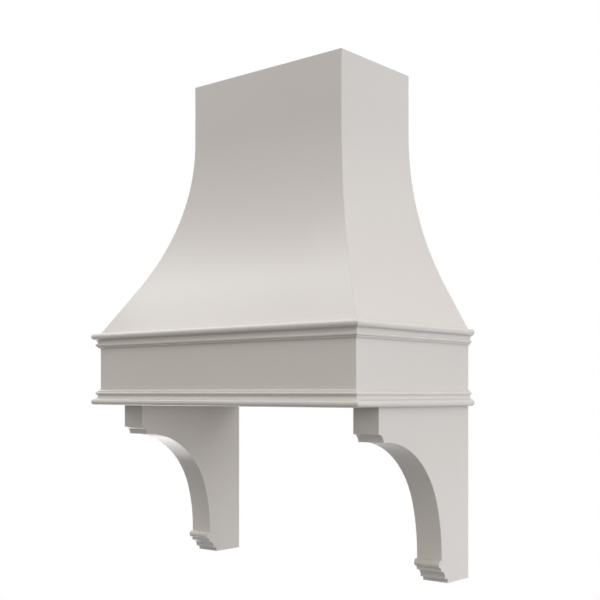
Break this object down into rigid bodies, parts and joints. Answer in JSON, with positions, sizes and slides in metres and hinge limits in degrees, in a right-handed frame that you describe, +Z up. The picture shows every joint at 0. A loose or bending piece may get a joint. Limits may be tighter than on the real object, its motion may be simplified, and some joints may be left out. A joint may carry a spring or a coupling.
{
  "type": "range hood cover",
  "caption": "Flared wooden range hood cover with a moulded apron and arched brackets, hung on a wall cleat and open through the middle for a fan insert and its duct.",
  "frame": {"origin": "on the wall plane, at the hood's centre line, level with the underside of the apron", "axes": "+X to the right for someone facing the hood, +Y into the wall, +Z up"},
  "size_m": [0.9524, 0.5143, 1.3716],
  "materials": {
    "paint": "smooth satin greige paint over sealed board",
    "plywood": "bare sanded birch plywood",
    "poplar": "bare planed poplar",
    "beech": "bare turned beech",
    "zinc_steel": "bright zinc plate",
    "brass": "turned brass"
  },
  "bodies": {
    "root": {"apron_front": "paint", "apron_left": "paint", "apron_right": "paint", "apron_splines": "beech", "base_front_rail": "plywood", "base_left_rail": "plywood", "base_rear_rail": "plywood", "base_right_rail": "plywood", "bracket_bolts": "zinc_steel", "bracket_dowels": "beech", "bracket_inserts": "brass", "bracket_washers": "zinc_steel", "cleat_screws": "zinc_steel", "corner_block_screws": "zinc_steel", "frame_dowels": "beech", "front_left_corner_block": "poplar", "front_rib_left": "plywood", "front_rib_right": "plywood", "front_right_corner_block": "poplar", "front_skin": "paint", "hood_cleat": "poplar", "keyhole_screws": "zinc_steel", "ledger_front_rail": "plywood", "ledger_left_rail": "plywood", "ledger_rear_rail": "plywood", "ledger_right_rail": "plywood", "left_bracket_core": "paint", "left_bracket_inner_cheek": "paint", "left_bracket_outer_cheek": "paint", "left_hip_rib": "plywood", "left_keyhole_plate": "zinc_steel", "left_side_rib": "plywood", "left_skin": "paint", "left_wall_rib": "plywood", "lower_moulding_front": "paint", "lower_moulding_left": "paint", "lower_moulding_right": "paint", "lower_nailer": "poplar", "moulding_brads": "zinc_steel", "rear_left_corner_block": "poplar", "rear_right_corner_block": "poplar", "rib_foot_screws": "zinc_steel", "rib_head_screws": "zinc_steel", "right_bracket_core": "paint", "right_bracket_inner_cheek": "paint", "right_bracket_outer_cheek": "paint", "right_hip_rib": "plywood", "right_keyhole_plate": "zinc_steel", "right_side_rib": "plywood", "right_skin": "paint", "right_wall_rib": "plywood", "top_back_rail": "plywood", "top_front_rail": "plywood", "top_left_rail": "plywood", "top_right_rail": "plywood", "upper_moulding_front": "paint", "upper_moulding_left": "paint", "upper_moulding_right": "paint", "wall_cleat": "poplar"}
  },
  "joints": []
}
